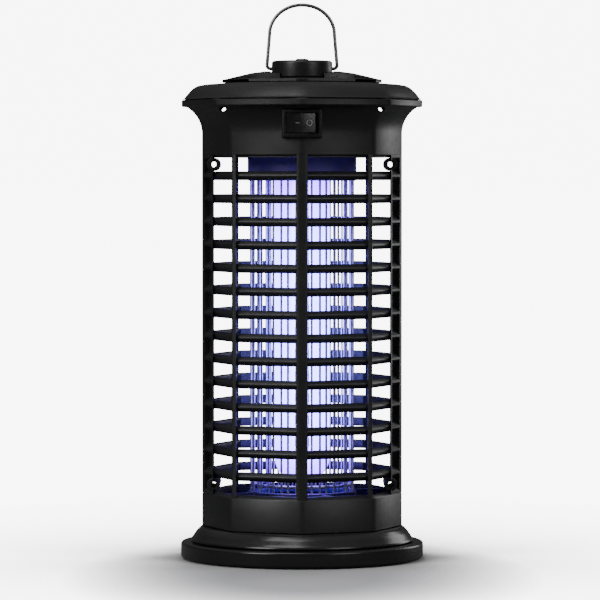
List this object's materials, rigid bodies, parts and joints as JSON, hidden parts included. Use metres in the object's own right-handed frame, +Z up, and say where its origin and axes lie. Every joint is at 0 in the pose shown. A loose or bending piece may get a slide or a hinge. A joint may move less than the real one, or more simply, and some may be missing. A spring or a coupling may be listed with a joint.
{
  "type": "electric bug zapper",
  "caption": "Lantern-shaped electric insect killer: slatted octagonal cage round a UV lamp and wire grid, with a flared head, wire bail, rocker switch and catch tray.",
  "frame": {"origin": "centre of the foot, on the surface that it stands on", "axes": "+Z up, -Y towards the switch, +X to the right as seen from the front"},
  "size_m": [0.132, 0.132, 0.3019],
  "materials": {
    "black_plastic": "satin",
    "switch_black": "semi-gloss",
    "rubber": "matt",
    "steel_wire": "satin",
    "dark_insulator": "matt",
    "white_insulator": "satin",
    "lamp_glass": "gloss",
    "brass": "satin",
    "circuit_board": "satin",
    "capacitor_sleeve": "gloss",
    "film_coating": "gloss",
    "lead_red": "satin"
  },
  "bodies": {
    "housing": {"front_cage": "black_plastic", "rear_cage": "black_plastic", "head_housing": "black_plastic", "roof_cover": "black_plastic", "vent_cap": "black_plastic", "top_hub": "black_plastic", "base_collar": "black_plastic", "switch_housing": "switch_black", "cord_gland": "rubber", "live_grid": "steel_wire", "return_grid": "steel_wire", "head_screw_1": "steel_wire", "head_screw_2": "steel_wire", "head_screw_3": "steel_wire", "head_screw_4": "steel_wire", "roof_screw_1": "steel_wire", "roof_screw_2": "steel_wire", "roof_screw_3": "steel_wire", "roof_screw_4": "steel_wire", "collar_screw_1": "steel_wire", "collar_screw_2": "steel_wire", "collar_screw_3": "steel_wire", "collar_screw_4": "steel_wire", "board_screw_1": "steel_wire", "board_screw_2": "steel_wire", "board_screw_3": "steel_wire", "board_screw_4": "steel_wire", "lamp_deck": "dark_insulator", "upper_grid_ring": "dark_insulator", "lower_grid_ring": "dark_insulator", "step_up_transformer": "dark_insulator", "rectifier_diode_1": "dark_insulator", "rectifier_diode_2": "dark_insulator", "lamp_socket": "white_insulator", "grid_lead_1": "white_insulator", "grid_lead_2": "white_insulator", "socket_contact_1": "brass", "socket_contact_2": "brass", "switch_terminal_1": "brass", "switch_terminal_2": "brass", "driver_board": "circuit_board", "storage_capacitor_1": "capacitor_sleeve", "storage_capacitor_2": "capacitor_sleeve", "film_capacitor_1": "film_coating", "film_capacitor_2": "film_coating", "switch_lead_1": "lead_red", "switch_lead_2": "lead_red"},
    "bail": {"bail": "steel_wire"},
    "rocker": {"switch_rocker": "switch_black"},
    "lamp": {"lamp_cap": "white_insulator", "lamp_tube": "lamp_glass", "lamp_pin_1": "brass", "lamp_pin_2": "brass"},
    "tray": {"catch_tray": "black_plastic", "rubber_foot_1": "rubber", "rubber_foot_2": "rubber", "rubber_foot_3": "rubber", "rubber_foot_4": "rubber"}
  },
  "joints": [
    {"name": "bail_swing", "type": "hinge", "parent": "housing", "child": "bail", "pos_m": [0, 0, 0.2663], "axis": [1, 0, 0], "range_deg": [-90, 90]},
    {"name": "rocker_tilt", "type": "hinge", "parent": "housing", "child": "rocker", "pos_m": [0, -0.055, 0.2361], "axis": [0, 0, 1], "range_deg": [0, 20]},
    {"name": "lamp_pull", "type": "slide", "parent": "housing", "child": "lamp", "axis": [0, 0, -1], "range_m": [0, 0.023]},
    {"name": "tray_drop", "type": "slide", "parent": "housing", "child": "tray", "axis": [0, 0, -1], "range_m": [0, 0.03]}
  ]
}
